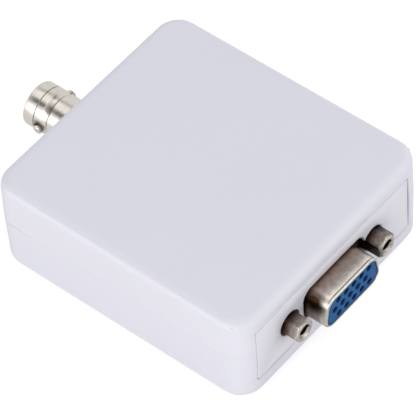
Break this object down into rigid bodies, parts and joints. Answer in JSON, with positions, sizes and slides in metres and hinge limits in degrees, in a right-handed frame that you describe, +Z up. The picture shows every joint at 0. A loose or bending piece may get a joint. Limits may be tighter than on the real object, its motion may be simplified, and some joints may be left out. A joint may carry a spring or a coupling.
{
  "type": "vga to bnc converter",
  "caption": "Small white moulded video converter box with a blue VGA socket between hex standoffs on one end and a BNC socket with bayonet lugs on the other.",
  "frame": {"origin": "middle of the enclosure's underside", "axes": "+Y from the VGA end to the BNC end, +X to the right when facing the VGA socket, +Z up from the face it rests on"},
  "size_m": [0.055, 0.0779, 0.022],
  "materials": {
    "shell_plastic": "fine satin moulded white",
    "panel_plastic": "fine satin moulded white",
    "screw_steel": "zinc plated",
    "nickel_sheet": "bright nickel on drawn steel sheet",
    "nickel_standoff": "nickel plated, turned",
    "nickel_barrel": "bright nickel over turned brass",
    "gold_contact": "thin gold plate",
    "tinned_metal": "tinned",
    "blue_plastic": "satin moulded blue",
    "black_plastic": "satin moulded black",
    "white_insulator": "waxy white",
    "board_laminate": "solder mask over laminate",
    "chip_moulding": "matt moulded epoxy with tinned leads",
    "capacitor_can": "bare aluminium can",
    "ferrite": "sintered ferrite",
    "ceramic_part": "glazed ceramic with tinned ends"
  },
  "bodies": {
    "root": {"upper_shell": "shell_plastic", "lower_shell": "shell_plastic", "vga_end_panel": "panel_plastic", "bnc_end_panel": "panel_plastic", "case_screws": "screw_steel", "vga_front_shell": "nickel_sheet", "vga_rear_shell": "nickel_sheet", "vga_insulator": "blue_plastic", "vga_contacts": "gold_contact", "vga_pin_spacer": "black_plastic", "vga_bracket_left": "nickel_sheet", "vga_bracket_right": "nickel_sheet", "jackscrew_left": "nickel_standoff", "jackscrew_right": "nickel_standoff", "bnc_barrel": "nickel_barrel", "bnc_dielectric": "white_insulator", "bnc_centre_contact": "gold_contact", "bnc_housing": "black_plastic", "bnc_ground_posts": "tinned_metal", "power_socket_shell": "nickel_sheet", "power_socket_insulator": "black_plastic", "power_socket_contacts": "gold_contact", "circuit_board": "board_laminate", "converter_chip": "chip_moulding", "encoder_chip": "chip_moulding", "memory_chip": "chip_moulding", "crystal": "tinned_metal", "voltage_regulator": "chip_moulding", "input_capacitor": "capacitor_can", "output_capacitor": "capacitor_can", "inductor": "ferrite", "chip_resistors": "ceramic_part", "chip_capacitors": "ceramic_part"}
  },
  "joints": []
}
